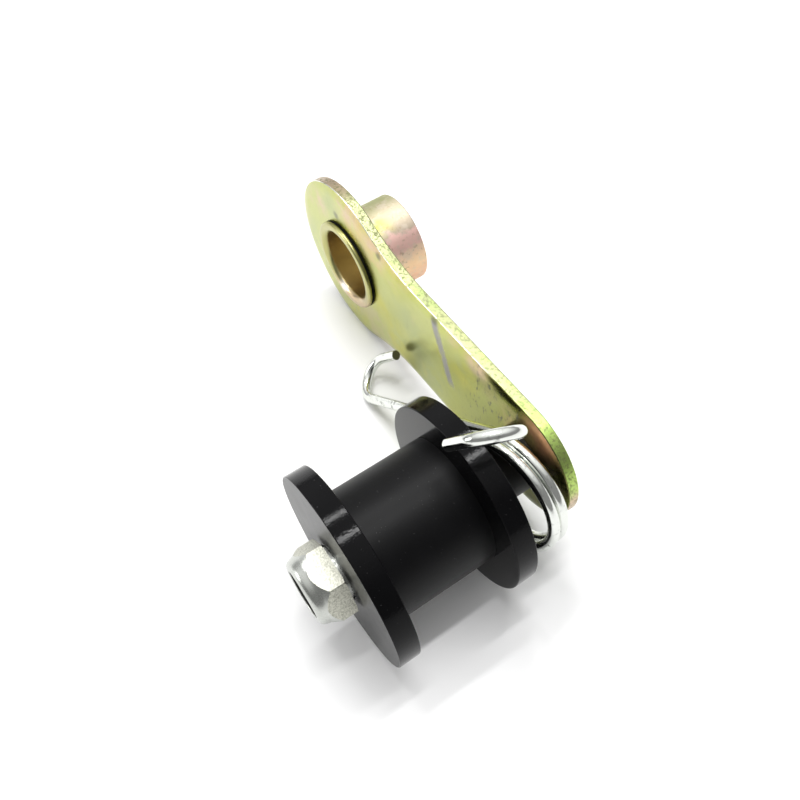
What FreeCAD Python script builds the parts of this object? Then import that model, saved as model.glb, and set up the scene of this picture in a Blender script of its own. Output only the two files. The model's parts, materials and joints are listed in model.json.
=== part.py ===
"""Spring-loaded chain tensioner: plated arm, pivot tube, flanged roller and torsion spring.

The origin is on the pivot bore's axis, at the arm's roller-side face. +X runs along the arm to the
roller, the bore and the roller's axle lie along Y with the nut towards -Y, and +Z is up.
All sizes are in millimetres.
"""

import FreeCAD, Part
import math
import os

V = FreeCAD.Vector
ALONG_BORE = V(0, 1, 0)

# Arm: flat pressed plate
AXLE_X = 60.0
ARM_THICK = 2.6
STRAP_HALF = 13.1
PIVOT_END_R = 19.2
NECK_FILLET_R = 42.0
FRONT_EDGE_R = 0.35
BACK_EDGE_R = 0.25
HOLE_EDGE_R = 0.4

# Pivot tube: its front end stands a little proud of the arm, its back end far out, welded round
TUBE_BORE_R = 8.0
TUBE_R = 10.0
TUBE_FRONT = -1.35
TUBE_BACK = 14.3
RIM_R = 0.45
MOUTH_R = 0.8
TUBE_CHAMFER = 0.3
WELD_LEG = 2.2

# Roller
ROLLER_LENGTH = 28.1
ROLLER_R = 18.75
CORE_R = 12.5
FLANGE_THICK = 4.1
ROLLER_GAP = 11.25
ROLLER_CHAMFER = 0.2
BORE_LEAD = 0.5

# Axle: stud, clamped sleeve and spacer collar
STUD_R = 4.0
STUD_HEAD_R = 6.2
STUD_HEAD_THICK = 1.7
STUD_HEAD_ROUND = 1.1
STUD_LEAD = 0.8
SLEEVE_R = 5.0
SLEEVE_WALL_GAP = 0.1
RUNNING_GAP = 0.05
ROLLER_END_PLAY = 0.7
COLLAR_R = 6.0
COLLAR_END_PLAY = 0.2
HOLE_GAP = 0.05

# Lock nut: a thin M8 one, its hexagon tapering into the collar that holds the nylon ring
NUT_FLATS = 13.0
NUT_TURN = -8.0
NUT_HEIGHT = 6.5
NUT_BASE_R = 6.6
NUT_BASE_CHAMFER = 0.68
NUT_HEX_END = 2.4
NUT_TAPER_END = 4.6
NUT_COLLAR_R = 6.45
NUT_END_R = 5.9
NUT_END_ROUND = 0.9
INSERT_R = 4.9
INSERT_THICK = 1.9
NUT_LIP_R = 4.6
NUT_LIP_THICK = 0.5

# Torsion spring: the coil hangs off centre on its collar and leans towards the roller
WIRE_R = 1.1
COIL_R = 11.9
COIL_PITCH = 2.25
COIL_TURNS = 1.943
ARCS_PER_TURN = 8
COIL_SHIFT_X = 2.85
COIL_DROP = 2.75
COIL_Y = -3.65
COIL_LEAN_X = -0.178
COIL_LEAN_Z = -0.053
LEG_ANGLE = 125.7
LONG_LEG = 41.0
SHORT_LEG = 21.1
HOOK_R = 4.75
HOOK_SWEEP = 166.0
HOOK_TAIL = 4.8
LONG_HOOK_TURN = -42.0
SHORT_HOOK_TURN = -20.8

ROLLER_BACK = -ROLLER_GAP
ROLLER_FACE = ROLLER_BACK - ROLLER_LENGTH
SLEEVE_END = ROLLER_FACE - ROLLER_END_PLAY
NUT_END = SLEEVE_END - NUT_HEIGHT
STUD_END = NUT_END + NUT_LIP_THICK


def rounded_wire(corners, place):
    """Closed outline through (a, b, corner radius) points; place maps (a, b) into space."""
    edges = []
    starts = []
    ends = []
    count = len(corners)
    for i in range(count):
        before = V(corners[i - 1][0], corners[i - 1][1], 0)
        here = V(corners[i][0], corners[i][1], 0)
        after = V(corners[(i + 1) % count][0], corners[(i + 1) % count][1], 0)
        radius = corners[i][2]
        to_before = (before - here).normalize()
        to_after = (after - here).normalize()
        if radius == 0:
            starts.append(here)
            ends.append(here)
            continue
        half = to_before.getAngle(to_after) / 2
        reach = radius / math.tan(half)
        first = here + to_before * reach
        last = here + to_after * reach
        centre = here + (to_before + to_after).normalize() * (radius / math.sin(half))
        middle = centre + (here - centre).normalize() * radius
        arc = [place(p.x, p.y) for p in (first, middle, last)]
        edges.append(Part.Arc(*arc).toShape())
        starts.append(first)
        ends.append(last)
    for i in range(count):
        run = starts[(i + 1) % count] - ends[i]
        if run.Length > 1e-6:
            a = ends[i]
            b = starts[(i + 1) % count]
            edges.append(Part.LineSegment(place(a.x, a.y), place(b.x, b.y)).toShape())
    return Part.Wire(Part.__sortEdges__(edges))


def turned(corners, x):
    """Solid turned about the line along Y at x, from (radius, y, corner radius) points."""
    section = Part.Face(rounded_wire(corners, lambda r, y: V(x + r, y, 0)))
    return section.revolve(V(x, 0, 0), ALONG_BORE, 360)


def bored(x, radius, y_low, y_high):
    return Part.makeCylinder(radius, y_high - y_low, V(x, y_low, 0), ALONG_BORE)


def arm_outline():
    """Wide round pivot end, concave necks, parallel strap and full-round roller end."""
    neck_z = STRAP_HALF + NECK_FILLET_R
    neck_x = math.sqrt((PIVOT_END_R + NECK_FILLET_R) ** 2 - neck_z ** 2)
    to_neck = V(neck_x, 0, neck_z).normalize()
    touch = to_neck * PIVOT_END_R
    neck_middle = V(neck_x, 0, neck_z) + (V(0, 0, -1) - to_neck).normalize() * NECK_FILLET_R

    def below(p):
        return V(p.x, p.y, -p.z)

    strap_start = V(neck_x, 0, STRAP_HALF)
    strap_end = V(AXLE_X, 0, STRAP_HALF)
    edges = [
        Part.Arc(touch, V(-PIVOT_END_R, 0, 0), below(touch)),
        Part.Arc(below(touch), below(neck_middle), below(strap_start)),
        Part.LineSegment(below(strap_start), below(strap_end)),
        Part.Arc(below(strap_end), V(AXLE_X + STRAP_HALF, 0, 0), strap_end),
        Part.LineSegment(strap_end, strap_start),
        Part.Arc(strap_start, neck_middle, touch),
    ]
    return Part.Wire([edge.toShape() for edge in edges])


def arm_plate():
    plate = Part.Face(arm_outline()).extrude(V(0, ARM_THICK, 0))

    def rim(y):
        level = [edge for edge in plate.Edges if edge.BoundBox.YLength < 1e-6]
        return [edge for edge in level if abs(edge.BoundBox.YMin - y) < 1e-6]

    plate = plate.makeFillet(FRONT_EDGE_R, rim(0))
    plate = plate.makeFillet(BACK_EDGE_R, rim(ARM_THICK))
    plate = plate.cut(bored(0, TUBE_R + HOLE_GAP, -1, ARM_THICK + 1))
    tube_hole = [edge for edge in rim(0) if edge.isClosed()]
    plate = plate.makeFillet(HOLE_EDGE_R, tube_hole)
    return plate.cut(bored(AXLE_X, STUD_R + HOLE_GAP, -1, ARM_THICK + 1))


def pivot_tube():
    """Tube with a rounded mouth and rim in front, and a deburred cut end behind."""
    return turned([
        (TUBE_BORE_R, TUBE_FRONT, MOUTH_R),
        (TUBE_R, TUBE_FRONT, RIM_R),
        (TUBE_R, TUBE_BACK - TUBE_CHAMFER, 0),
        (TUBE_R - TUBE_CHAMFER, TUBE_BACK, 0),
        (TUBE_BORE_R + TUBE_CHAMFER, TUBE_BACK, 0),
        (TUBE_BORE_R, TUBE_BACK - TUBE_CHAMFER, 0),
    ], 0)


def tube_weld():
    """Fillet weld in the corner between the tube and the back of the arm."""
    inner = TUBE_R
    outer = TUBE_R + WELD_LEG
    foot = ARM_THICK
    bulge = 0.58 * WELD_LEG
    crest = V(inner + bulge, foot + bulge, 0)
    bead = Part.Arc(V(outer, foot, 0), crest, V(inner, foot + WELD_LEG, 0)).toShape()
    down = Part.LineSegment(V(inner, foot + WELD_LEG, 0), V(inner, foot, 0)).toShape()
    across = Part.LineSegment(V(inner, foot, 0), V(outer, foot, 0)).toShape()
    return Part.Face(Part.Wire([bead, down, across])).revolve(V(0, 0, 0), ALONG_BORE, 360)


def axle_stud():
    """Plain stud: peened head behind the arm, shank through it, lead chamfer at the nut's end."""
    head_back = ARM_THICK + STUD_HEAD_THICK
    return turned([
        (0, head_back, 0),
        (STUD_HEAD_R, head_back, STUD_HEAD_ROUND),
        (STUD_HEAD_R, ARM_THICK, 0),
        (STUD_R, ARM_THICK, 0),
        (STUD_R, STUD_END + STUD_LEAD, 0),
        (STUD_R - STUD_LEAD, STUD_END, 0),
        (0, STUD_END, 0),
    ], AXLE_X)


def tube_piece(inner, outer, y_low, y_high):
    return turned([
        (inner, y_low, 0),
        (outer, y_low, 0),
        (outer, y_high, 0),
        (inner, y_high, 0),
    ], AXLE_X)


def axle_sleeve():
    return tube_piece(STUD_R + SLEEVE_WALL_GAP, SLEEVE_R, SLEEVE_END, 0)


def spring_collar():
    return tube_piece(SLEEVE_R + RUNNING_GAP, COLLAR_R, ROLLER_BACK + COLLAR_END_PLAY, 0)


def flange_rim(y_low, y_high):
    """The outer edge of one flange, with both corners broken."""
    inset = ROLLER_R - ROLLER_CHAMFER
    return [
        (inset, y_low, 0),
        (ROLLER_R, y_low + ROLLER_CHAMFER, 0),
        (ROLLER_R, y_high - ROLLER_CHAMFER, 0),
        (inset, y_high, 0),
    ]


def roller():
    """Flanged roller with a plain core for the chain and a sharp-cornered groove."""
    bore = SLEEVE_R + RUNNING_GAP
    near_wall = ROLLER_FACE + FLANGE_THICK
    far_wall = ROLLER_BACK - FLANGE_THICK
    section = [(bore + BORE_LEAD, ROLLER_FACE, 0)]
    section += flange_rim(ROLLER_FACE, near_wall)
    section += [(CORE_R, near_wall, 0), (CORE_R, far_wall, 0)]
    section += flange_rim(far_wall, ROLLER_BACK)
    section += [
        (bore + BORE_LEAD, ROLLER_BACK, 0),
        (bore, ROLLER_BACK - BORE_LEAD, 0),
        (bore, ROLLER_FACE + BORE_LEAD, 0),
    ]
    return turned(section, AXLE_X)


def hex_bar():
    """Hexagon as long as the nut, its upper flat leaning NUT_TURN degrees from level."""
    corner_r = NUT_FLATS / math.sqrt(3)
    corners = []
    for i in range(7):
        angle = math.radians(60 * i + NUT_TURN)
        corners.append(V(AXLE_X + corner_r * math.cos(angle), NUT_END, corner_r * math.sin(angle)))
    return Part.Face(Part.makePolygon(corners)).extrude(V(0, NUT_HEIGHT, 0))


def lock_nut():
    """Hexagon whose corners taper into a round collar, rolled to a lip over the nylon ring."""
    clear_r = NUT_FLATS / math.sqrt(3) + 0.3
    collar_blend = 1.5
    lip_round = 0.2
    thread_end = NUT_END + NUT_LIP_THICK + INSERT_THICK
    envelope = turned([
        (STUD_R + HOLE_GAP, SLEEVE_END, 0),
        (NUT_BASE_R, SLEEVE_END, 0),
        (clear_r, SLEEVE_END - NUT_BASE_CHAMFER, 0),
        (clear_r, SLEEVE_END - NUT_HEX_END, 0),
        (NUT_COLLAR_R, SLEEVE_END - NUT_TAPER_END, collar_blend),
        (NUT_END_R, NUT_END, NUT_END_ROUND),
        (NUT_LIP_R, NUT_END, lip_round),
        (NUT_LIP_R, NUT_END + NUT_LIP_THICK, 0),
        (INSERT_R + HOLE_GAP, NUT_END + NUT_LIP_THICK, 0),
        (INSERT_R + HOLE_GAP, thread_end, 0),
        (STUD_R + HOLE_GAP, thread_end, 0),
    ], AXLE_X)
    return envelope.common(hex_bar())


def nut_insert():
    low = NUT_END + NUT_LIP_THICK
    return tube_piece(STUD_R + HOLE_GAP, INSERT_R, low, low + INSERT_THICK)


class Coil:
    """Close-wound coil on a leaning axis, from the long leg on the arm's side to the short leg."""

    def __init__(self):
        self.axis = V(COIL_LEAN_X, 1, COIL_LEAN_Z).normalize()
        across = V(1, 0, 0) - self.axis * self.axis.x
        self.across = across.normalize()
        self.up = self.axis.cross(self.across) * -1
        self.centre = V(AXLE_X + COIL_SHIFT_X, COIL_Y, -COIL_DROP)
        self.end_angle = LEG_ANGLE - 360 * COIL_TURNS

    def point(self, degrees):
        angle = math.radians(degrees)
        rise = COIL_PITCH * (degrees - LEG_ANGLE) / 360
        arm = self.across * math.cos(angle) + self.up * math.sin(angle)
        return self.centre + arm * COIL_R + self.axis * rise

    def heading(self, degrees):
        """Direction of the wire towards growing angles."""
        angle = math.radians(degrees)
        turn = self.up * math.cos(angle) - self.across * math.sin(angle)
        return (turn * COIL_R + self.axis * (COIL_PITCH / (2 * math.pi))).normalize()

    def edges(self):
        """The helix as short arcs, so that the wire keeps plain toroidal faces."""
        count = math.ceil(COIL_TURNS * ARCS_PER_TURN)
        step = (self.end_angle - LEG_ANGLE) / count
        arcs = []
        for i in range(count):
            through = [self.point(LEG_ANGLE + (i + part) * step) for part in (0, 0.5, 1)]
            arcs.append(Part.Arc(*through).toShape())
        return arcs


def hooked_leg(start, heading, length, turn, side):
    """Straight leg, U hook and cut tail. turn tips the hook about the leg, away from side."""
    bend = start + heading * length
    flat = (side - heading * side.dot(heading)).normalize()
    upright = heading.cross(flat)
    tip = math.radians(turn)
    towards = flat * math.cos(tip) + upright * math.sin(tip)
    middle = bend + towards * HOOK_R

    def on_hook(degrees):
        angle = math.radians(degrees)
        return middle - towards * (HOOK_R * math.cos(angle)) + heading * (HOOK_R * math.sin(angle))

    last = math.radians(HOOK_SWEEP)
    tail_heading = towards * math.sin(last) + heading * math.cos(last)
    hook_end = on_hook(HOOK_SWEEP)
    return [
        Part.LineSegment(start, bend).toShape(),
        Part.Arc(bend, on_hook(HOOK_SWEEP / 2), hook_end).toShape(),
        Part.LineSegment(hook_end, hook_end + tail_heading * HOOK_TAIL).toShape(),
    ]


def torsion_spring():
    """One wire: tail, hook, long leg, coil, short leg, hook, tail."""
    coil = Coil()
    long_start = coil.point(LEG_ANGLE)
    short_start = coil.point(coil.end_angle)
    long_heading = coil.heading(LEG_ANGLE)
    short_heading = coil.heading(coil.end_angle) * -1
    long_leg = hooked_leg(long_start, long_heading, LONG_LEG, LONG_HOOK_TURN, ALONG_BORE)
    short_leg = hooked_leg(short_start, short_heading, SHORT_LEG, SHORT_HOOK_TURN, ALONG_BORE * -1)
    path = Part.Wire(Part.__sortEdges__(long_leg + coil.edges() + short_leg))
    tail = long_leg[2]
    tail_end = tail.valueAt(tail.LastParameter)
    tail_heading = tail.tangentAt(tail.LastParameter)
    section = Part.Wire(Part.makeCircle(WIRE_R, tail_end, tail_heading))
    return path.makePipeShell([section], True, False)


PIECES = [
    arm_plate,
    pivot_tube,
    tube_weld,
    axle_stud,
    axle_sleeve,
    spring_collar,
    roller,
    lock_nut,
    nut_insert,
    torsion_spring,
]

os.makedirs("parts", exist_ok=True)
for piece in PIECES:
    solid = piece()
    print(piece.__name__, solid.isValid(), len(solid.Solids), round(solid.Volume, 1))
    solid.exportStep("parts/" + piece.__name__ + ".step")
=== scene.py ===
"""Chain tensioner lying on a pale table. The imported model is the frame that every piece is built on."""

import json
import math

import bmesh
import bpy
from mathutils import Matrix, Vector


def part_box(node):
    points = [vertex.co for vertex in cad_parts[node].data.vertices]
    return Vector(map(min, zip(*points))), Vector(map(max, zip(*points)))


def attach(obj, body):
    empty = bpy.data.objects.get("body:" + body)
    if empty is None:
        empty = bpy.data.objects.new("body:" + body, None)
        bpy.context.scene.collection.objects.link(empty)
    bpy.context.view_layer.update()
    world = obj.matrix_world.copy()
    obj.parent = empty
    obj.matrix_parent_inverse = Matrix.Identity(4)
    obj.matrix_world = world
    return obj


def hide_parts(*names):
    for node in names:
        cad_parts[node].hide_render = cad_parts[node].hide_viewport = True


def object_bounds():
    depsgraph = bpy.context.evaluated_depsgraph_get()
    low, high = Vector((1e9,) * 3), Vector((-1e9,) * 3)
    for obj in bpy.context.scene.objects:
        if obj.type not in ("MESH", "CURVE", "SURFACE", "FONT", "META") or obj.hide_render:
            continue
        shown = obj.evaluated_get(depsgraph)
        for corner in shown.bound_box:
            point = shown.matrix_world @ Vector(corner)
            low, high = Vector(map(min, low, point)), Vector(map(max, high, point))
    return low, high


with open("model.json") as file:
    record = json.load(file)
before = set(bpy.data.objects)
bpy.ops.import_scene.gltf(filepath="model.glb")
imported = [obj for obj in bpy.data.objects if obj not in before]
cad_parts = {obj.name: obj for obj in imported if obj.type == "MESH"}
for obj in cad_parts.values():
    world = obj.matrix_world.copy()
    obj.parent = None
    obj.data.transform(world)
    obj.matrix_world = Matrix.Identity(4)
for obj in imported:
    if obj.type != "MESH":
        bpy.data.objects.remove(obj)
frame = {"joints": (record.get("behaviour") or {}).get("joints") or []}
cad_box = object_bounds()

# Arm
# A strap of 2.6 mm steel with a wide round pivot end, zinc plated and yellow passivated.
# It is punched to shape: the front edge is rolled over by the punch, the rim is grainy
# and the back edge is crisp.

MM = 0.001
ALONG_BORE = Vector((0, 1, 0))
SAME_PLACE = 1e-6
SAME_LEVEL = 1e-7
FACE, RIM, RUBBED = range(3)

arm_low, arm_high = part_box("arm_plate")
axle_x = frame["joints"][0]["pos_m"][0]
axle = Vector((axle_x, 0, 0))
arm_thick = arm_high.y
pivot_end_r = -arm_low.x
strap_half = arm_high.x - axle_x
waist_r = 42 * MM
pivot_steps = 96
waist_steps = 24
tip_steps = 64
roll_width = 2.4 * MM
roll_depth = 0.3 * MM
roll_sag = 2.2
roll_steps = 6
nose_r = 0.28 * MM
nose_steps = 5
back_edge_r = 0.25 * MM
back_steps = 3
tube_r = 10 * MM
stud_r = 4 * MM
hole_edge_r = 0.4 * MM
hole_steps = 4
hole_sides = 96


def verts_of(geometry):
    return [g for g in geometry if isinstance(g, bmesh.types.BMVert)]


def edges_of(geometry):
    return [g for g in geometry if isinstance(g, bmesh.types.BMEdge)]


def arc(bm, start, centre, degrees, steps):
    """Sweeps one vertex round a line along the bore and gives the last vertex."""
    made = bmesh.ops.spin(
        bm, geom=[start], cent=centre, axis=ALONG_BORE, angle=math.radians(degrees), steps=steps)
    return verts_of(made["geom_last"])[0]


def straight(bm, start, end):
    """Draws one edge from a vertex to a place and gives the vertex there."""
    vert = bm.verts.new(end)
    bm.edges.new((start, vert))
    return vert


def arm_outline(bm, inset, y):
    """A closed loop on the plane at y, inside the arm's outline by inset."""
    half = strap_half - inset
    neck_z = strap_half + waist_r
    neck_x = math.sqrt((pivot_end_r + waist_r) ** 2 - neck_z ** 2)
    lean = math.degrees(math.atan2(neck_z, neck_x))
    touch = Vector((neck_x, 0, neck_z)).normalized() * (pivot_end_r - inset)
    touch.y = y
    vert = arc(bm, bm.verts.new(touch), (0, y, 0), 2 * lean - 360, pivot_steps)
    vert = arc(bm, vert, (neck_x, y, -neck_z), 90 - lean, waist_steps)
    vert = straight(bm, vert, (axle_x, y, -half))
    vert = arc(bm, vert, (axle_x, y, 0), -180, tip_steps)
    vert = straight(bm, vert, (neck_x, y, half))
    arc(bm, vert, (neck_x, y, neck_z), 90 - lean, waist_steps)


def edge_profile():
    """(inset, y) rows from the front face round the rolled edge and the rim to the back face."""
    rows = []
    for i in range(roll_steps + 1):
        part = i / roll_steps
        rows.append((roll_width + (nose_r - roll_width) * part, roll_depth * part ** roll_sag))
    for i in range(1, nose_steps + 1):
        angle = math.radians(90 * i / nose_steps)
        rows.append((nose_r * (1 - math.sin(angle)), roll_depth + nose_r * (1 - math.cos(angle))))
    for i in range(back_steps + 1):
        angle = math.radians(90 * i / back_steps)
        drop = back_edge_r * (1 - math.sin(angle))
        rows.append((back_edge_r * (1 - math.cos(angle)), arm_thick - drop))
    return rows


def on_level(bm, y):
    """The edges that lie on the plane at y."""
    return [e for e in bm.edges if all(abs(v.co.y - y) < SAME_LEVEL for v in e.verts)]


def at_radius(edge, x, radius):
    """True for an edge on the round surface of this radius about the line along the bore at x."""
    return all(abs(math.hypot(v.co.x - x, v.co.z) - radius) < SAME_PLACE for v in edge.verts)


def across_bore(x, y):
    """Stands a flat circle up at x, square to the bore."""
    return Matrix.Translation((x, y, 0)) @ Matrix.Rotation(math.pi / 2, 4, "X")


def hole_wall(bm, x, radius, rounding):
    """Joins the open circles of a hole in both faces, over a rounded edge in front."""
    front = [e for e in on_level(bm, 0) if at_radius(e, x, radius + rounding)]
    for i in range(1, hole_steps + 1):
        angle = math.radians(90 * i / hole_steps)
        size = radius + rounding * (1 - math.sin(angle))
        depth = rounding * (1 - math.cos(angle))
        made = bmesh.ops.create_circle(bm, segments=hole_sides, radius=size, matrix=across_bore(x, depth))
        row = [e for e in on_level(bm, depth) if set(e.verts) <= set(made["verts"])]
        bmesh.ops.bridge_loops(bm, edges=front + row)
        front = row
    back = [e for e in on_level(bm, arm_thick) if at_radius(e, x, radius)]
    bmesh.ops.bridge_loops(bm, edges=front + back)


def arm_mesh():
    bm = bmesh.new()
    rows = edge_profile()
    for inset, y in rows:
        arm_outline(bm, inset, y)
    bmesh.ops.remove_doubles(bm, verts=bm.verts[:], dist=SAME_PLACE)
    rubbed = range(roll_steps + 2, roll_steps + 4)
    for i, ((_, upper), (_, lower)) in enumerate(zip(rows, rows[1:])):
        made = bmesh.ops.bridge_loops(bm, edges=on_level(bm, upper) + on_level(bm, lower))
        for face in made["faces"]:
            face.material_index = FACE if i < rubbed.start else RUBBED if i in rubbed else RIM
    for y, rounding in ((0, hole_edge_r), (arm_thick, 0)):
        for x, radius in ((0, tube_r), (axle_x, stud_r)):
            bmesh.ops.create_circle(
                bm, segments=hole_sides, radius=radius + rounding, matrix=across_bore(x, y))
        bmesh.ops.triangle_fill(bm, edges=on_level(bm, y), use_beauty=True)
    hole_wall(bm, 0, tube_r, hole_edge_r)
    hole_wall(bm, axle_x, stud_r, hole_edge_r)
    bmesh.ops.recalc_face_normals(bm, faces=bm.faces[:])
    return bm


def piece(name, bm, body, slot, *finishes, crease=40):
    """Makes the mesh an object that stands for the node of the same name."""
    for face in bm.faces:
        face.smooth = True
    mesh = bpy.data.meshes.new(name + "_mesh")
    bm.to_mesh(mesh)
    bm.free()
    mesh.set_sharp_from_angle(angle=math.radians(crease))
    for finish in finishes:
        mesh.materials.append(finish.material)
    obj = bpy.data.objects.new(name + "_piece", mesh)
    bpy.context.scene.collection.objects.link(obj)
    normals = obj.modifiers.new("even_normals", "WEIGHTED_NORMAL")
    normals.keep_sharp = True
    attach(obj, body)
    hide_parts(name)


class Wire:
    """A shader socket. Sums and products on it add Math nodes to its finish."""

    def __init__(self, finish, socket):
        self.finish = finish
        self.socket = socket

    def math(self, operation, *values):
        return self.finish.node("Math", {"operation": operation}, dict(enumerate(values)))

    def __add__(self, other):
        return self.math("ADD", self, other)

    def __sub__(self, other):
        return self.math("SUBTRACT", self, other)

    def __rsub__(self, other):
        return self.math("SUBTRACT", other, self)

    def __mul__(self, other):
        return self.math("MULTIPLY", self, other)

    __radd__ = __add__
    __rmul__ = __mul__

    def within(self, low, high):
        """0 below low, 1 above high, smooth between."""
        values = {"Value": self, "From Min": low, "From Max": high}
        return self.finish.node("MapRange", {"interpolation_type": "SMOOTHSTEP"}, values)


class Finish:
    """One material on the shader's own sockets, with the pattern nodes that feed them."""

    MIX_FACTOR, MIX_FIRST, MIX_SECOND, MIX_RESULT = 0, 6, 7, 2

    def __init__(self, name, **constants):
        self.material = bpy.data.materials.new(name)
        self.open_nodes(self.material, "Principled BSDF", "Object")
        for socket, value in constants.items():
            self.set(socket.replace("_", " "), value)

    def open_nodes(self, owner, shader, coordinates):
        owner.use_nodes = True
        self.tree = owner.node_tree
        self.shader = self.tree.nodes[shader]
        self.place = self.node("TexCoord", {}, {}, coordinates)

    def node(self, kind, settings, inputs, output=0):
        made = self.tree.nodes.new("ShaderNode" + kind)
        for name, value in settings.items():
            if name == "stops":
                self.lay_stops(made.color_ramp.elements, value)
            else:
                setattr(made, name, value)
        for name, value in inputs.items():
            self.feed(made.inputs[name], value)
        return Wire(self, made.outputs[output])

    def lay_stops(self, elements, stops):
        for place, _ in stops[2:]:
            elements.new(place)
        for element, (place, tint) in zip(elements, stops):
            element.position = place
            element.color = tint

    def feed(self, socket, value):
        if isinstance(value, Wire):
            self.tree.links.new(value.socket, socket)
        else:
            socket.default_value = value

    def set(self, socket, value):
        self.feed(self.shader.inputs[socket], value)

    def mix(self, mask, first, second):
        """Colours go from first to second as mask goes from 0 to 1."""
        inputs = {self.MIX_FACTOR: mask, self.MIX_FIRST: first, self.MIX_SECOND: second}
        return self.node("Mix", {"data_type": "RGBA"}, inputs, self.MIX_RESULT)

    def noise(self, scale, detail=3.0, rough=0.5, stretch=(1, 1, 1), turn=(0, 0, 0)):
        """Cloudy pattern, stretched along the object's axes."""
        place = self.node("Mapping", {}, {"Vector": self.place, "Scale": stretch, "Rotation": turn})
        inputs = {"Vector": place, "Scale": scale, "Detail": detail, "Roughness": rough}
        return self.node("TexNoise", {}, inputs)

    def axis(self, letter):
        return self.node("SeparateXYZ", {}, {"Vector": self.place}, letter)

    def vector(self, operation, output, *values):
        return self.node("VectorMath", {"operation": operation}, dict(enumerate(values)), output)

    def along(self, start, heading):
        """How far a point of the surface lies from start along a heading."""
        offset = self.vector("SUBTRACT", "Vector", self.place, tuple(start))
        return self.vector("DOT_PRODUCT", "Value", offset, tuple(heading))

    def near(self, point, inner, outer):
        """1 close to a point and 0 past outer."""
        away = self.vector("DISTANCE", "Value", self.place, tuple(point))
        return 1 - away.within(inner, outer)

    def bump(self, height, depth):
        inputs = {"Height": height, "Strength": 1.0, "Distance": depth}
        self.set("Normal", self.node("Bump", {}, inputs))


def colour(red, green, blue):
    return (red, green, blue, 1.0)


ZINC_YELLOW = colour(0.42, 0.44, 0.09)
ZINC_PALE = colour(0.48, 0.51, 0.20)
ZINC_GOLD = colour(0.52, 0.50, 0.06)
ZINC_OLIVE = colour(0.31, 0.33, 0.05)
ZINC_GREY = colour(0.38, 0.42, 0.17)
ZINC_CREAM = colour(0.37, 0.40, 0.22)
ZINC_GREEN = colour(0.44, 0.63, 0.14)
ZINC_PINK = colour(0.58, 0.41, 0.30)
ZINC_TAN = colour(0.58, 0.45, 0.17)
ZINC_COPPER = colour(0.92, 0.52, 0.31)
# Colour of a painted highlight on the arm face by the coil.
PAINTED_COPPER_HIGHLIGHT = colour(0.95, 0.74, 0.30)
RUBBED_WHITE = colour(0.92, 0.92, 0.86)
SCUFF_GREY = colour(0.29, 0.28, 0.31)
GRIME_AND_SHADE = colour(0.10, 0.10, 0.06)
RIM_DULL = colour(0.17, 0.18, 0.12)
RIM_FLECK = colour(0.16, 0.17, 0.08)
EDGE_DARK_REFLECTION = colour(0.12, 0.13, 0.04)


def passivated(name):
    """Yellow passivate: green-gold with paler clouds, deeper patches and a faint pink bloom."""
    finish = Finish(name, Metallic=1.0)
    clouds = finish.noise(60, 4).within(0.38, 0.64)
    patches = finish.noise(75, 4, turn=(0.9, 0.3, 0.5)).within(0.52, 0.68)
    bloom = finish.noise(95, 5, 0.6, turn=(0.4, 0.9, 0.2)).within(0.54, 0.70)
    tint = finish.mix(clouds * 0.6, ZINC_YELLOW, ZINC_PALE)
    tint = finish.mix(patches * 0.6, tint, ZINC_GOLD)
    finish.tint = finish.mix(bloom * 0.5, tint, ZINC_PINK)
    return finish


def patch(finish, tint, over, x, z, reach, strength):
    """Lays a ragged round patch of another colour on the arm, placed and sized in millimetres."""
    ragged = finish.noise(230, 5, 0.6, turn=(0.1 * x, 0, 0.1 * z)).within(0.36, 0.6)
    spot = finish.near((x * MM, 0, z * MM), 0.2 * reach * MM, reach * MM)
    return finish.mix(spot * ragged * strength, tint, over)


def scuff_mark(finish, start, end):
    """1 along a narrow rub between two points of the face, with ragged edges."""
    heading = (end - start).normalized()
    length = (end - start).length
    run = finish.along(start, heading)
    ragged = (finish.noise(900, 3) - 0.5) * (1.2 * MM)
    off = finish.along(start, heading.cross(ALONG_BORE)) + ragged
    width = off.math("ABSOLUTE", off)
    ends = run.within(0, 2 * MM) * (1 - run.within(length - 3 * MM, length))
    worn = finish.noise(500, 3).within(0.25, 0.6) * 0.4 + 0.5
    return ends * worn * (1 - width.within(0.5 * MM, 1.6 * MM))


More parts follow.
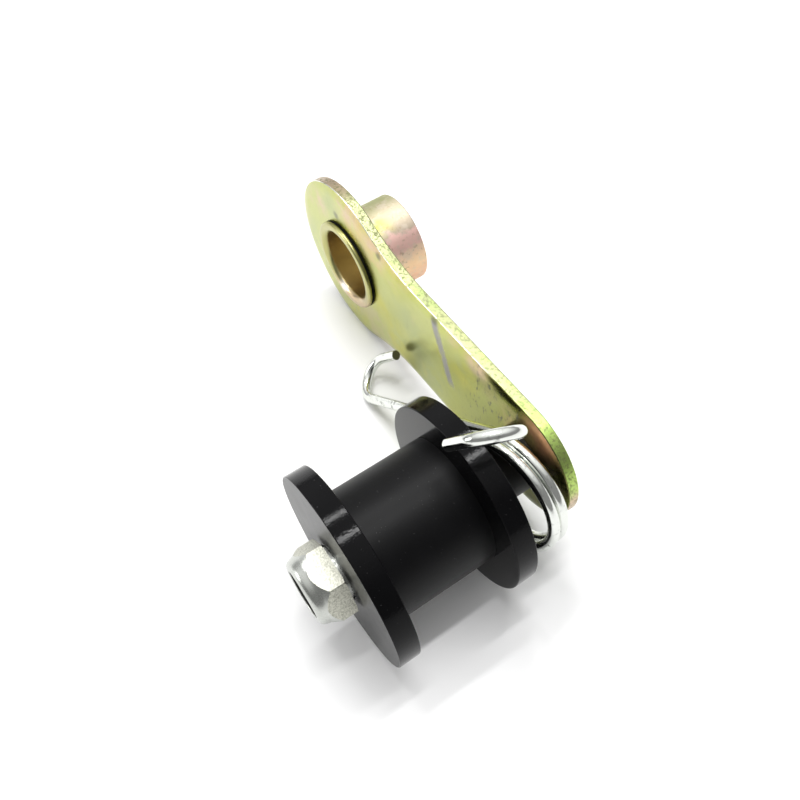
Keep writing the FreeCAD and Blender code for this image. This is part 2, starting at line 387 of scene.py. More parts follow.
def arm_face():
    """Pale at the pivot and olive towards the roller, clouded pink, tan and grey, with rubs and specks; by
    the coil a copper tint that is partly painted reflection, with a painted highlight, and painted shade
    under the collar.
    """
    finish = passivated("arm_face_zinc")
    along = finish.axis("X")
    tint = finish.mix((1 - along.within(-4 * MM, 30 * MM)) * 0.5, finish.tint, ZINC_PALE)
    tint = finish.mix(along.within(34 * MM, 54 * MM) * 0.75, tint, ZINC_OLIVE)
    for x, z, reach in ((-13, -3, 9), (-6, 14, 7), (24, 2, 9), (31, -7, 9)):
        tint = patch(finish, tint, ZINC_GREY, x, z, reach, 0.8)
    for x, z, reach in ((6, 14, 8), (11, 11, 6), (57, 7, 5)):
        tint = patch(finish, tint, ZINC_TAN, x, z, reach, 0.9)
    for x, z, reach in ((12, -2, 6), (1, -14, 7), (19, -8, 8), (42, 6, 7)):
        tint = patch(finish, tint, ZINC_GOLD, x, z, reach, 0.8)
    pinks = (-11, 11, 6), (2, 18, 7), (13, 15, 6), (21, 15, 5), (46, 12.5, 5), (70, 4, 9)
    for x, z, reach in pinks:
        tint = patch(finish, tint, ZINC_PINK, x, z, reach, 0.8)
    # By the coil the face is copper, partly the passivate's tint and partly a painted reflection of the
    # dark roller; the small gold spot is a painted highlight.
    copper = finish.near((64 * MM, 0, 10.5 * MM), 2 * MM, 7 * MM)
    copper_highlight = finish.near((61.4 * MM, 0, 7.4 * MM), 0.8 * MM, 3.4 * MM)
    tint = finish.mix(copper * 0.85, tint, ZINC_COPPER)
    tint = finish.mix(copper_highlight, tint, PAINTED_COPPER_HIGHLIGHT)
    front = 1 - finish.axis("Y").within(0.6 * MM, 1.4 * MM)
    scuff = front * scuff_mark(finish, Vector((32.3, 0, 13.0)) * MM, Vector((39.0, 0, -3.8)) * MM)
    tint = finish.mix(scuff, tint, SCUFF_GREY)
    flecks = front * finish.noise(800, 5, 0.75, stretch=(1, 1, 0.4)).within(0.55, 0.61)
    worn = along.within(40 * MM, 48 * MM) * (1 - along.within(57 * MM, 61 * MM)) * 0.75 + 0.1
    tint = finish.mix(flecks * worn, tint, GRIME_AND_SHADE)
    # Dark smudges; the wide one under the collar at (64, -11.5) is painted shade.
    for x, z, reach in ((13.8, 13.6, 1.3), (32.8, 12.3, 1.6), (-2.5, 12.4, 1.5), (64, -11.5, 9)):
        smudge = finish.near((x * MM, 0, z * MM), 0.3 * MM, reach * MM)
        tint = finish.mix(smudge * 0.7, tint, GRIME_AND_SHADE)
    finish.set("Base Color", tint)
    grain = finish.noise(900, 4, stretch=(0.25, 1, 1))
    finish.set("Roughness", 0.2 + grain * 0.08 + scuff * 0.15 + copper * 0.3)
    finish.bump(grain, 0.004 * MM)
    return finish


def sheared_rim():
    """Pale grainy rim, duller by the pivot, greener by the roller, pink at the tip and over the pivot."""
    finish = passivated("sheared_rim_zinc")
    along = finish.axis("X")
    grain = finish.noise(2400, 4, 0.7)
    flecks = finish.noise(1700, 4, 0.7).within(0.48, 0.60)
    patches = finish.noise(260, 3).within(0.48, 0.62)
    tint = finish.mix(0.85, finish.tint, ZINC_CREAM)
    tint = finish.mix(patches * 0.35, tint, ZINC_GREEN)
    by_pivot = 1 - along.within(12 * MM, 40 * MM)
    tint = finish.mix(by_pivot * 0.4, tint, RIM_DULL)
    tint = finish.mix(along.within(54 * MM, 65 * MM) * 0.7, tint, ZINC_GREEN)
    tip = finish.near((73 * MM, 1.3 * MM, -1.5 * MM), 2 * MM, 6 * MM)
    pivot_top = finish.near((-8 * MM, 1.3 * MM, 18 * MM), 4 * MM, 12 * MM)
    tint = finish.mix(pivot_top * 0.7, tint, ZINC_PINK)
    tint = finish.mix(tip * 0.9, tint, ZINC_PINK)
    finish.set("Base Color", finish.mix(flecks * (0.65 + by_pivot * 0.2), tint, RIM_FLECK))
    finish.set("Roughness", 0.3 + flecks * 0.2)
    finish.bump(grain, 0.03 * MM)
    return finish


def rubbed_edge():
    """The front edge, polished white by handling as far as the coil, and painted dark olive past it as a
    reflection of the dark roller.
    """
    finish = Finish("rubbed_edge_zinc", Metallic=1.0)
    breaks = finish.noise(700, 3).within(0.56, 0.66)
    tint = finish.mix(breaks, RUBBED_WHITE, ZINC_CREAM)
    # Painted reflection: past the coil the edge is darkened to stand for the dark roller it mirrors.
    reflection_by_coil = finish.axis("X").within(45 * MM, 52 * MM)
    finish.set("Base Color", finish.mix(reflection_by_coil, tint, EDGE_DARK_REFLECTION))
    finish.set("Roughness", 0.26 + breaks * 0.1)
    return finish


piece("arm_plate", arm_mesh(), "arm", "yellow_zinc", arm_face(), sheared_rim(), rubbed_edge())

# Pivot tube
# A length of 20 mm steel tube through the wide end of the arm. Its front end is belled to a lip over
# a narrow gap, painted near black as shade. It is plated with the arm, and the passivate runs from olive
# to cream, pink and amber round it.

tube_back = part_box("pivot_tube")[1].y
tube_bore_r = 8 * MM
lip_r = 10.3 * MM
lip_front = -1.3 * MM
lip_thick = 0.86 * MM
lip_round = 0.55 * MM
lip_back_r = 0.1 * MM
neck_r = 9.5 * MM
mouth_r = 1.2 * MM
tube_edge_r = 0.3 * MM
bore_skin = 0.05 * MM
OUTSIDE, BORE, MOUTH, GAP = range(4)


def turned(corners, centre_x, steps=128):
    """Spins a closed section of (radius, y, rounding) corners about the line along the bore."""
    bm = bmesh.new()
    verts = [bm.verts.new((centre_x + r, y, 0)) for r, y, _ in corners]
    for first, second in zip(verts, verts[1:] + verts[:1]):
        bm.edges.new((first, second))
    bmesh.ops.spin(
        bm, geom=bm.verts[:] + bm.edges[:], cent=(centre_x, 0, 0), axis=ALONG_BORE,
        angle=2 * math.pi, steps=steps, use_merge=True)
    bmesh.ops.remove_doubles(bm, verts=bm.verts[:], dist=SAME_LEVEL)
    bmesh.ops.recalc_face_normals(bm, faces=bm.faces[:])
    for r, y, rounding in corners:
        if rounding:
            ring = [e for e in on_level(bm, y) if at_radius(e, centre_x, r)]
            bmesh.ops.bevel(
                bm, geom=ring, offset=rounding, affect="EDGES", segments=5, profile=0.5, material=-1)
    return bm


def tube_mesh():
    """The tube with its rounded mouth, its lip and the gap under the lip."""
    lip_back = lip_front + lip_thick
    bm = turned([
        (tube_bore_r, lip_front, mouth_r),
        (lip_r, lip_front, lip_round),
        (lip_r, lip_back, lip_back_r),
        (neck_r, lip_back, 0),
        (neck_r, hole_edge_r, 0),
        (tube_r, hole_edge_r, 0),
        (tube_r, tube_back, tube_edge_r),
        (tube_bore_r, tube_back, tube_edge_r),
    ], 0)
    for face in bm.faces:
        middle = face.calc_center_median()
        radius = math.hypot(middle.x, middle.z)
        if radius < tube_bore_r + bore_skin:
            face.material_index = BORE
        elif lip_back - SAME_PLACE < middle.y <= hole_edge_r + SAME_PLACE:
            face.material_index = GAP
        else:
            face.material_index = MOUTH if middle.y < 0 else OUTSIDE
    return bm


def tube_finish():
    """Ragged bands of interference colour round the tube, yellower beside the arm."""
    finish = Finish("tube_zinc", Metallic=1.0)
    downhill = Vector((0.755, 0, -0.656))
    wander = finish.noise(150, 5, 0.62) - 0.5
    turn = finish.along((0, 0, 0), downhill / (2 * tube_r)) + wander * 0.4 + 0.5
    bands = finish.node("ValToRGB", {"stops": [
        (0.04, colour(0.42, 0.43, 0.22)),
        (0.20, colour(0.54, 0.48, 0.35)),
        (0.45, colour(0.49, 0.41, 0.32)),
        (0.49, colour(0.80, 0.54, 0.48)),
        (0.62, colour(0.84, 0.56, 0.50)),
        (0.66, colour(0.86, 0.65, 0.50)),
        (0.80, colour(0.86, 0.63, 0.40)),
        (0.95, colour(0.78, 0.50, 0.34)),
    ]}, {0: turn})
    beside_arm = 1 - finish.axis("Y").within(6 * MM, 11 * MM)
    yellow = beside_arm * turn.within(0.18, 0.28) * (1 - turn.within(0.40, 0.47))
    tint = finish.mix(yellow * 0.9, bands, colour(0.58, 0.56, 0.12))
    bloom = finish.noise(380, 5, 0.65).within(0.50, 0.64)
    tint = finish.mix(bloom * 0.45, tint, colour(0.66, 0.58, 0.48))
    specks = finish.noise(800, 4, 0.65, turn=(0.5, 0.2, 0.8)).within(0.57, 0.66)
    finish.set("Base Color", finish.mix(specks * 0.5, tint, colour(0.38, 0.29, 0.17)))
    drawn = finish.noise(900, 3, stretch=(1, 0.3, 1))
    finish.set("Roughness", 0.48 + drawn * 0.14)
    finish.bump(drawn, 0.006 * MM)
    return finish


def mouth_finish():
    """The lip's face and rounded mouth: cream, pinker low down, with one painted highlight low on the
    mouth.
    """
    finish = Finish("mouth_zinc", Metallic=1.0)
    clouds = finish.noise(240, 4)
    tint = finish.mix(clouds, colour(0.38, 0.37, 0.14), colour(0.52, 0.50, 0.23))
    pink = finish.along((0, 0, 0), (0.3, 0, -0.95)).within(3 * MM, 9 * MM)
    tint = finish.mix(pink * 0.7, tint, ZINC_PINK)
    # A painted highlight on the mouth's rounding.
    bright = finish.near((-2 * MM, -0.8 * MM, -8.2 * MM), 0.4 * MM, 2.2 * MM)
    finish.set("Base Color", finish.mix(bright, tint, colour(0.92, 0.84, 0.74)))
    finish.set("Roughness", 0.24 + clouds * 0.12)
    return finish


def recess_shade_finish():
    """Painted shade: a near-black colour in the gap under the tube's lip and inside the nut's lip."""
    finish = Finish("packed_grime")
    shade_mottle = finish.noise(1500, 4)
    finish.set("Base Color", finish.mix(shade_mottle, colour(0.004, 0.004, 0.003), colour(0.02, 0.018, 0.01)))
    finish.set("Roughness", 0.6 + shade_mottle * 0.2)
    finish.bump(shade_mottle, 0.05 * MM)
    return finish


def bore_finish():
    """The bore's wall, a browner passivate with soft clouds."""
    finish = Finish("bore_zinc", Metallic=1.0)
    clouds = finish.noise(90, 2)
    finish.set("Base Color", finish.mix(clouds, colour(0.50, 0.38, 0.17), colour(0.56, 0.46, 0.22)))
    finish.set("Roughness", 0.3 + clouds * 0.1)
    return finish


# Near-black painted shade for the recesses under the tube's lip and inside the nut's lip.
recess_shade = recess_shade_finish()
piece(
    "pivot_tube", tube_mesh(), "arm", "yellow_zinc", tube_finish(), bore_finish(), mouth_finish(), recess_shade)

# Weld
# A fillet bead run round the tube where it leaves the back of the arm, rippled as the torch moved.
# It was plated with the arm and the tube.

weld_low, weld_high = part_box("tube_weld")
weld_leg = weld_high.y - weld_low.y
weld_crest = 0.62 * weld_leg
weld_crown_r = 0.7 * MM
weld_root = 0.2 * MM
weld_steps = 220
RIPPLES = 44
RIPPLE_DEPTH = 0.12 * MM
RIPPLE_DRIFT = 0.9
DRIFT_WAVES = 5


def weld_mesh():
    """A bead that keeps its two roots still and is rippled between them."""
    bm = turned([
        (tube_r, weld_low.y, 0),
        (tube_r + weld_leg, weld_low.y, 0),
        (tube_r + weld_crest, weld_low.y + weld_crest, weld_crown_r),
        (tube_r, weld_high.y, 0),
    ], 0, weld_steps)
    for vert in bm.verts:
        around = math.atan2(vert.co.z, vert.co.x)
        off_arm = vert.co.y - weld_low.y
        off_tube = math.hypot(vert.co.x, vert.co.z) - tube_r
        if off_arm > weld_root and off_tube > weld_root:
            drift = RIPPLE_DRIFT * math.sin(DRIFT_WAVES * around)
            vert.co.y += RIPPLE_DEPTH * math.sin(RIPPLES * around + drift)
    return bm


def weld_finish():
    """Passivated weld metal with coppery grains."""
    finish = passivated("weld_zinc")
    grain = finish.noise(700, 4, 0.6)
    finish.set("Base Color", finish.mix(grain.within(0.5, 0.7) * 0.5, finish.tint, ZINC_COPPER))
    finish.set("Roughness", 0.3 + grain * 0.2)
    finish.bump(grain, 0.05 * MM)
    return finish


piece("tube_weld", weld_mesh(), "arm", "yellow_zinc", weld_finish())

# Axle stud
# A plain 8 mm steel stud, riveted over behind the arm and bright zinc plated.
# Its lead chamfer stops just inside the nut.

stud_low, stud_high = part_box("axle_stud")
stud_head_r = stud_high.z
stud_head_edge_r = 1.1 * MM
stud_lead = 0.8 * MM
axle_sides = 96
ZINC_WHITE = (0.76, 0.78, 0.74)
ZINC_CLOUD = (0.58, 0.60, 0.55)


def bright_zinc(name, rough, grain_size, depth, dull=1.0):
    """Bright zinc: white metal with a soft grain; a smaller dull is darker."""
    finish = Finish(name, Metallic=1.0)
    clouds = finish.noise(220, 3)
    grain = finish.noise(grain_size, 4, 0.6)
    dark = colour(*(part * dull for part in ZINC_CLOUD))
    light = colour(*(part * dull for part in ZINC_WHITE))
    finish.set("Base Color", finish.mix(clouds, dark, light))
    finish.set("Roughness", rough + grain * 0.12)
    finish.bump(grain, depth)
    return finish


axle_zinc = bright_zinc("axle_zinc", 0.22, 900, 0.01 * MM)
piece("axle_stud", turned([
    (0, stud_high.y, 0),
    (stud_head_r, stud_high.y, stud_head_edge_r),
    (stud_head_r, arm_thick, 0),
    (stud_r, arm_thick, 0),
    (stud_r, stud_low.y + stud_lead, 0),
    (stud_r - stud_lead, stud_low.y, 0),
    (0, stud_low.y, 0),
], axle_x, axle_sides), "arm", "bright_zinc", axle_zinc)

# Sleeve and collar
# The nut clamps a steel sleeve against the arm, so that the roller turns on it with a little end play.
# A short black nylon collar round the sleeve fills the space between arm and roller, inside the coil.

sleeve_low, sleeve_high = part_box("axle_sleeve")
collar_low, collar_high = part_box("spring_collar")
sleeve_r = sleeve_high.z
collar_r = collar_high.z
sleeve_bore_r = stud_r + 0.1 * MM
collar_bore_r = sleeve_r + 0.05 * MM
sleeve_edge_r = 0.2 * MM
collar_edge_r = 0.3 * MM


def short_tube(inner, outer, end, rounding):
    """A tube on the axle from the arm's face to end, where its outer edge is rounded."""
    return turned([
        (inner, end, 0),
        (outer, end, rounding),
        (outer, 0, 0),
        (inner, 0, 0),
    ], axle_x, axle_sides)


def collar_finish():
    """Black nylon, plain and a little dull."""
    finish = Finish("collar_nylon", Specular_IOR_Level=0.25)
    mottle = finish.noise(300, 3)
    finish.set("Base Color", finish.mix(mottle, colour(0.005, 0.005, 0.006), colour(0.012, 0.012, 0.013)))
    finish.set("Roughness", 0.4 + mottle * 0.15)
    return finish


piece(
    "axle_sleeve", short_tube(sleeve_bore_r, sleeve_r, sleeve_low.y, sleeve_edge_r),
    "arm", "bright_zinc", axle_zinc)
piece(
    "spring_collar", short_tube(collar_bore_r, collar_r, collar_low.y, collar_edge_r),
    "arm", "black_nylon", collar_finish())

# Torsion spring
# One length of 2.2 mm spring wire, coiled a little under two turns and bent to a U hook at both ends.
# It is bright zinc plated, hangs loose on the collar and leans towards the roller.

wire_r = 1.1 * MM
coil_r = 11.9 * MM
coil_pitch = 2.25 * MM
coil_turns = 1.943
coil_centre = Vector((axle_x + 2.85 * MM, -3.65 * MM, -2.75 * MM))
coil_axis = Vector((-0.178, 1, -0.053)).normalized()
leg_angle = 125.7
long_leg = 41.0 * MM
short_leg = 21.1 * MM
hook_r = 4.75 * MM
hook_sweep = 166
hook_tail = 4.8 * MM
long_hook_turn = -42.0
short_hook_turn = -20.8
wire_sides = 28
hook_steps = 40
coil_steps = 190
crop_edge_r = 0.12 * MM
crop_angle = 1.2
CROPPED = 1

coil_across = (Vector((1, 0, 0)) - coil_axis * coil_axis.x).normalized()
coil_up = coil_across.cross(coil_axis)
coil_end_angle = leg_angle - 360 * coil_turns


def coil_point(degrees):
    """A place on the coil's centre line."""
    angle = math.radians(degrees)
    reach = coil_across * math.cos(angle) + coil_up * math.sin(angle)
    return coil_centre + reach * coil_r + coil_axis * (coil_pitch * (degrees - leg_angle) / 360)


def coil_heading(degrees):
    """Direction of the wire towards growing angles."""
    angle = math.radians(degrees)
    turn = coil_up * math.cos(angle) - coil_across * math.sin(angle)
    return (turn * coil_r + coil_axis * (coil_pitch / (2 * math.pi))).normalized()


def draw_straight(bm, ring, run):
    """Pulls the open end of the wire along run and gives its new rim."""
    made = bmesh.ops.extrude_edge_only(bm, edges=edges_of(ring))
    verts = verts_of(made["geom"])
    bmesh.ops.translate(bm, verts=verts, vec=run)
    return verts + [e for e in edges_of(made["geom"]) if set(e.verts) <= set(verts)]


def draw_bend(bm, ring, centre, axis, degrees, steps, rise=Vector()):
    """Bends the wire round an axis; rise is how far it climbs along the axis in all."""
    made = bmesh.ops.spin(
        bm, geom=ring, cent=centre, axis=axis, dvec=rise / steps,
        angle=math.radians(degrees), steps=steps)
    return verts_of(made["geom_last"]) + edges_of(made["geom_last"])


class Leg:
    """A straight leg that leaves the coil and ends in a U hook with a short tail."""

    def __init__(self, start, heading, length, turn, side):
        self.run = heading * length
        flat = (side - heading * side.dot(heading)).normalized()
        tip = math.radians(turn)
        towards = flat * math.cos(tip) + heading.cross(flat) * math.sin(tip)
        self.centre = start + self.run + towards * hook_r
        self.axis = towards.cross(heading)
        sweep = math.radians(hook_sweep)
        self.tail = (towards * math.sin(sweep) + heading * math.cos(sweep)) * hook_tail
        back = towards * -math.cos(sweep) + heading * math.sin(sweep)
        self.tip = self.centre + back * hook_r + self.tail


def spring_mesh():
    """Draws the wire from the long leg's tip through the coil to the short leg's tip."""
    start = coil_point(leg_angle)
    end = coil_point(coil_end_angle)
    long_end = Leg(start, coil_heading(leg_angle), long_leg, long_hook_turn, ALONG_BORE)
    short_end = Leg(end, -coil_heading(coil_end_angle), short_leg, short_hook_turn, -ALONG_BORE)
    bm = bmesh.new()
    facing = long_end.tail.to_track_quat("Z", "Y").to_matrix().to_4x4()
    made = bmesh.ops.create_circle(
        bm, segments=wire_sides, radius=wire_r, matrix=Matrix.Translation(long_end.tip) @ facing)
    first = bm.edges[:]
    ring = made["verts"] + first
    ring = draw_straight(bm, ring, -long_end.tail)
    ring = draw_bend(bm, ring, long_end.centre, long_end.axis, hook_sweep, hook_steps)
    ring = draw_straight(bm, ring, -long_end.run)
    climb = coil_axis * (-coil_pitch * coil_turns)
    ring = draw_bend(bm, ring, coil_centre, coil_axis, 360 * coil_turns, coil_steps, climb)
    ring = draw_straight(bm, ring, short_end.run)
    ring = draw_bend(bm, ring, short_end.centre, short_end.axis, -hook_sweep, hook_steps)
    ring = draw_straight(bm, ring, short_end.tail)
    for rim in (first, edges_of(ring)):
        made = bmesh.ops.edgeloop_fill(bm, edges=rim)
        made["faces"][0].material_index = CROPPED
    bmesh.ops.recalc_face_normals(bm, faces=bm.faces[:])
    ends = [e for e in bm.edges if len(e.link_faces) == 2 and e.calc_face_angle() > crop_angle]
    bmesh.ops.bevel(
        bm, geom=ends, offset=crop_edge_r, affect="EDGES", segments=3, profile=0.5, material=-1)
    return bm


def cut_end_finish():
    """Bare steel where the wire was cropped after plating."""
    finish = Finish("cropped_steel", Metallic=1.0)
    grain = finish.noise(1500, 3)
    finish.set("Base Color", finish.mix(grain, colour(0.16, 0.16, 0.12), colour(0.26, 0.26, 0.20)))
    finish.set("Roughness", 0.5 + grain * 0.15)
    finish.bump(grain, 0.02 * MM)
    return finish


def wire_finish():
    """Bright drawn wire with darker patches, partly dirt and partly painted dark reflections."""
    finish = Finish("spring_wire_zinc", Metallic=1.0)
    # Darker patches: partly dirt, partly painted dark reflection.
    dirt_and_dark_reflection = finish.noise(520, 5, 0.75).within(0.54, 0.68)
    grain = finish.noise(1900, 4, 0.6)
    tint = finish.mix(dirt_and_dark_reflection * 0.92, colour(*ZINC_WHITE), colour(0.24, 0.25, 0.23))
    finish.set("Base Color", tint)
    finish.set("Roughness", 0.08 + grain * 0.1 + dirt_and_dark_reflection * 0.2)
    finish.bump(grain, 0.01 * MM)
    return finish


piece("torsion_spring", spring_mesh(), "spring", "spring_wire", wire_finish(), cut_end_finish())

# Roller
# A flanged roller turned from black nylon, with plain faces and nearly sharp corners.
# The core is duller than the flanges, and the nut's side keeps faint turning marks.

roller_low, roller_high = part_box("roller")
roller_r = roller_high.z
core_r = 12.5 * MM
flange_thick = 4.1 * MM
rim_edge_r = 0.2 * MM
roller_bore_r = sleeve_r + 0.05 * MM
bore_lead = 0.5 * MM
roller_sides = 160
facing_feed = 0.45 * MM
FLANGE, CORE, FACED = range(3)
groove_low = roller_low.y + flange_thick
groove_high = roller_high.y - flange_thick


def roller_mesh():
    bm = turned([
        (roller_bore_r + bore_lead, roller_low.y, 0),
        (roller_r, roller_low.y, rim_edge_r),
        (roller_r, groove_low, rim_edge_r),
        (core_r, groove_low, 0),
        (core_r, groove_high, 0),
        (roller_r, groove_high, rim_edge_r),
        (roller_r, roller_high.y, rim_edge_r),
        (roller_bore_r + bore_lead, roller_high.y, 0),
        (roller_bore_r, roller_high.y - bore_lead, 0),
        (roller_bore_r, roller_low.y + bore_lead, 0),
    ], axle_x, roller_sides)
    for face in bm.faces:
        middle = face.calc_center_median() - axle
        if abs(middle.y - roller_low.y) < SAME_PLACE:
            face.material_index = FACED
        elif groove_low < middle.y < groove_high and math.hypot(middle.x, middle.z) < core_r:
            face.material_index = CORE
        else:
            face.material_index = FLANGE
    return bm


def black_nylon(name, gloss, rough):
    """Black nylon with a little dust on it."""
    finish = Finish(name, Specular_IOR_Level=gloss)
    mottle = finish.noise(260, 3)
    dust = finish.noise(2600, 2).within(0.72, 0.76)
    dark = finish.mix(mottle, colour(0.0015, 0.0015, 0.0018), colour(0.0035, 0.0035, 0.004))
    finish.set("Base Color", finish.mix(dust * 0.2, dark, colour(0.2, 0.2, 0.2)))
    finish.set("Roughness", rough + mottle * 0.06)
    return finish


def turned_nylon(name, gloss, rough, grain_size, depth):
    """The flanges and the core, with a fine grain that breaks their highlights up."""
    finish = black_nylon(name, gloss, rough)
    finish.bump(finish.noise(grain_size, 3, 0.6), depth)
    return finish


def faced_nylon():
    """The nut's side, with the fine rings that the facing tool left."""
    finish = black_nylon("faced_nylon", 0.25, 0.3)
    from_axle = finish.vector("SUBTRACT", "Vector", finish.place, tuple(axle))
    flat = finish.vector("MULTIPLY", "Vector", from_axle, (1, 0, 1))
    radius = finish.vector("LENGTH", "Value", flat)
    rings = radius.math("SINE", radius * (2 * math.pi / facing_feed))
    grain = finish.noise(1700, 3, 0.6)
    finish.bump(rings * 0.3 + grain * 0.6, 0.012 * MM)
    return finish


piece(
    "roller", roller_mesh(), "roller", "black_nylon",
    turned_nylon("flange_nylon", 0.1, 0.06, 2400, 0.016 * MM),
    turned_nylon("core_nylon", 0.13, 0.4, 1700, 0.01 * MM),
    faced_nylon())

# Lock nut
# A thin M8 nut, bright zinc plated. Its hexagon tapers into a round collar that is rolled over
# a nylon ring, and the flats keep the grain of the plating.

nut_low, nut_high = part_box("lock_nut")
nut_flat = 6.5 * MM
nut_turn = 82
nut_corner_r = nut_flat / math.cos(math.pi / 6)
nut_base_r = 7.1 * MM
nut_base_chamfer = 0.3 * MM
nut_hex_end = 2.4 * MM
nut_taper = 4.6 * MM
nut_collar_r = 6.45 * MM
nut_shoulder_r = 0.4 * MM
nut_end_r = 5.9 * MM
nut_roll_r = 0.9 * MM
nut_lip_r = 4.6 * MM
nut_lip = 0.5 * MM
nut_lip_edge_r = 0.2 * MM
nut_corner_edge_r = 0.3 * MM
blank_spare = 0.3 * MM
lip_wall_skin = 0.02 * MM
nut_sides = 144
insert_r = 4.9 * MM
insert_thick = 1.9 * MM
insert_play = 0.05 * MM
TURNED, FLAT, LIP_WALL = range(3)


def cut_flat(bm, angle):
    """Slices one flat off the blank and closes the cut."""
    facing = Vector((math.cos(angle), 0, math.sin(angle)))
    geometry = bm.verts[:] + bm.edges[:] + bm.faces[:]
    made = bmesh.ops.bisect_plane(
        bm, geom=geometry, plane_co=axle + facing * nut_flat, plane_no=facing, clear_outer=True)
    made = bmesh.ops.edgeloop_fill(bm, edges=edges_of(made["geom_cut"]))
    made["faces"][0].material_index = FLAT


def is_hex_edge(edge):
    """True for the six corners between the flats."""
    return len(edge.link_faces) == 2 and all(face.material_index == FLAT for face in edge.link_faces)


def nut_mesh():
    """A turned blank with six flats cut on it and the corners between them eased."""
    clear_r = nut_corner_r + blank_spare
    seat_r = insert_r + insert_play
    thread_end = nut_low.y + nut_lip + insert_thick
    bm = turned([
        (stud_r, nut_high.y, 0),
        (nut_base_r, nut_high.y, 0),
        (clear_r, nut_high.y - nut_base_chamfer, 0),
        (clear_r, nut_high.y - nut_hex_end, 0),
        (nut_collar_r, nut_high.y - nut_taper, nut_shoulder_r),
        (nut_end_r, nut_low.y, nut_roll_r),
        (nut_lip_r, nut_low.y, nut_lip_edge_r),
        (nut_lip_r, nut_low.y + nut_lip, 0),
        (seat_r, nut_low.y + nut_lip, 0),
        (seat_r, thread_end, 0),
        (stud_r, thread_end, 0),
    ], axle_x, nut_sides)
    for face in bm.faces:
        middle = face.calc_center_median() - axle
        radius = math.hypot(middle.x, middle.z)
        inside = middle.y < nut_low.y + nut_lip and radius < nut_lip_r + lip_wall_skin
        face.material_index = LIP_WALL if inside else TURNED
    for i in range(6):
        cut_flat(bm, math.radians(nut_turn + 60 * i))
    bmesh.ops.recalc_face_normals(bm, faces=bm.faces[:])
    edges = [e for e in bm.edges if is_hex_edge(e)]
    bmesh.ops.bevel(
        bm, geom=edges, offset=nut_corner_edge_r, affect="EDGES", segments=4, profile=0.5, material=-1)
    return bm


def flat_finish():
    """The flats, frosted by the plating: pale crystals on a duller ground."""
    finish = Finish("nut_flat_zinc", Metallic=1.0)
    frost = finish.noise(3000, 4, 0.7)
    crystals = frost.within(0.36, 0.60)
    finish.set("Base Color", finish.mix(crystals, colour(0.36, 0.36, 0.30), colour(0.64, 0.64, 0.56)))
    finish.set("Roughness", 0.4 + frost * 0.12)
    finish.bump(frost, 0.03 * MM)
    return finish


nut_zinc = bright_zinc("nut_zinc", 0.22, 1200, 0.008 * MM, 0.75)
# The nut's inner lip wall takes the painted recess shade.
piece("lock_nut", nut_mesh(), "arm", "bright_zinc", nut_zinc, flat_finish(), recess_shade, crease=22)

# Nylon ring
# A ring of natural nylon that grips the stud's thread. It is pressed into the nut's collar
# and held there by the rolled lip.

ring_low, ring_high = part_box("nut_insert")
ring_bore_r = stud_r + 0.05 * MM
ring_edge_r = 0.15 * MM


def ring_finish():
    """Natural nylon, milky and faintly mottled."""
    finish = Finish("natural_nylon", Subsurface_Weight=0.1)
    mottle = finish.noise(500, 3)
    finish.set("Base Color", finish.mix(mottle, colour(0.60, 0.60, 0.56), colour(0.74, 0.74, 0.70)))
    finish.set("Roughness", 0.4 + mottle * 0.15)
    return finish


piece("nut_insert", turned([
    (ring_bore_r, ring_low.y, ring_edge_r),
    (insert_r, ring_low.y, 0),
    (insert_r, ring_high.y, 0),
    (ring_bore_r, ring_high.y, 0),
], axle_x, axle_sides), "arm", "white_nylon", ring_finish())

# Table and light
# A plain white table in a room that is bright overhead and dim all round, with two narrow strips
# above along the bore's direction and a soft window low on the nut's side.

TABLE_SIZE = 4.0
GLOW_FROM = 0.25
GLOW_TO = 0.9


def table():
    """A flat sheet under the lowest point of the object."""
    bm = bmesh.new()
    bmesh.ops.create_grid(bm, x_segments=1, y_segments=1, size=TABLE_SIZE)
    bmesh.ops.translate(bm, verts=bm.verts[:], vec=(0, 0, cad_box[0].z))
    mesh = bpy.data.meshes.new("table_mesh")
    bm.to_mesh(mesh)
    bm.free()
    finish = Finish("pale_table", Roughness=0.6)
    finish.set("Base Color", colour(0.90, 0.90, 0.90))
    mesh.materials.append(finish.material)
    obj = bpy.data.objects.new("table", mesh)
    bpy.context.scene.collection.objects.link(obj)


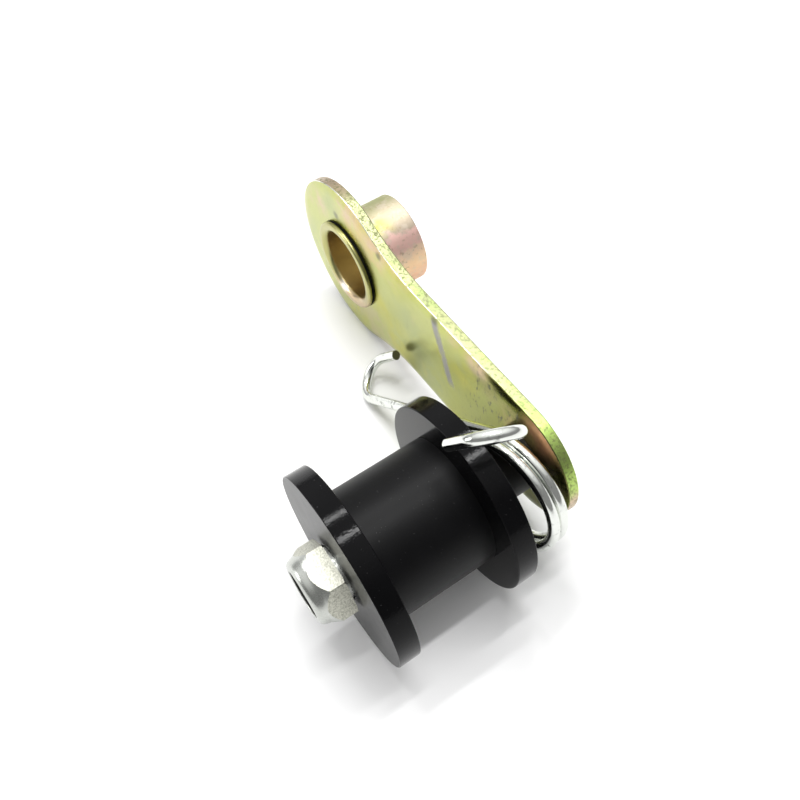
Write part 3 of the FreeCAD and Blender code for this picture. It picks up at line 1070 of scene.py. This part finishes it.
def soft_lamp(name, place, width, length, brightness):
    """A flat lamp that faces the roller, its length along the bore's direction."""
    light = bpy.data.lights.new(name, "AREA")
    light.shape = "RECTANGLE"
    light.size = width
    light.size_y = length
    light.energy = math.pi * width * length * brightness
    obj = bpy.data.objects.new(name, light)
    obj.location = place
    away = (Vector(place) - axle).normalized()
    lengthwise = (ALONG_BORE - away * away.y).normalized()
    facing = Matrix((lengthwise.cross(away), lengthwise, away)).transposed()
    obj.rotation_euler = facing.to_euler()
    bpy.context.scene.collection.objects.link(obj)


class Room(Finish):
    """Walls and ceiling, bright on one side overhead and dim on the other and along the horizon."""

    def __init__(self, towards, dim, bright):
        world = bpy.data.worlds.new("room")
        self.open_nodes(world, "Background", "Generated")
        glow = self.along((0, 0, 0), towards).within(GLOW_FROM, GLOW_TO)
        self.set("Strength", dim + glow * (bright - dim))
        self.set("Color", colour(1.0, 1.0, 1.0))
        bpy.context.scene.world = world


table()
soft_lamp("overhead_strip", (0.03, 0.09, 0.72), 0.03, 0.4, 52)
soft_lamp("side_strip", (-0.26, 0.06, 0.65), 0.03, 0.4, 52)
soft_lamp("window", (-0.62, -0.94, 0.36), 0.4, 0.5, 6)
Room((-0.366, 0.211, 0.906), 0.28, 1.2)

# Camera
# It stands over the roller's end of the arm and looks down along it. Its place and its turn are in
# the part's own frame, and its lens is given in pixels of the square picture.

CAMERA_PLACE = Vector((114.19, -54.54, 130.15)) * MM
CAMERA_RIGHT = Vector((0.55789, 0.82807, -0.05535))
CAMERA_DOWN = Vector((0.66885, -0.48810, -0.56072))
FOCAL_PIXELS = 810.2
PICTURE_PIXELS = 800
SENSOR_WIDTH = 36
CLIP_START = 0.01

camera_data = bpy.data.cameras.new("camera")
camera_data.sensor_width = SENSOR_WIDTH
camera_data.lens = SENSOR_WIDTH * FOCAL_PIXELS / PICTURE_PIXELS
camera_data.clip_start = CLIP_START
camera = bpy.data.objects.new("camera", camera_data)
turn = Matrix((CAMERA_RIGHT, -CAMERA_DOWN, CAMERA_DOWN.cross(CAMERA_RIGHT))).transposed()
camera.matrix_world = Matrix.Translation(CAMERA_PLACE) @ turn.to_4x4()
bpy.context.scene.collection.objects.link(camera)
bpy.context.scene.camera = camera
bpy.context.scene.view_settings.view_transform = "Standard"
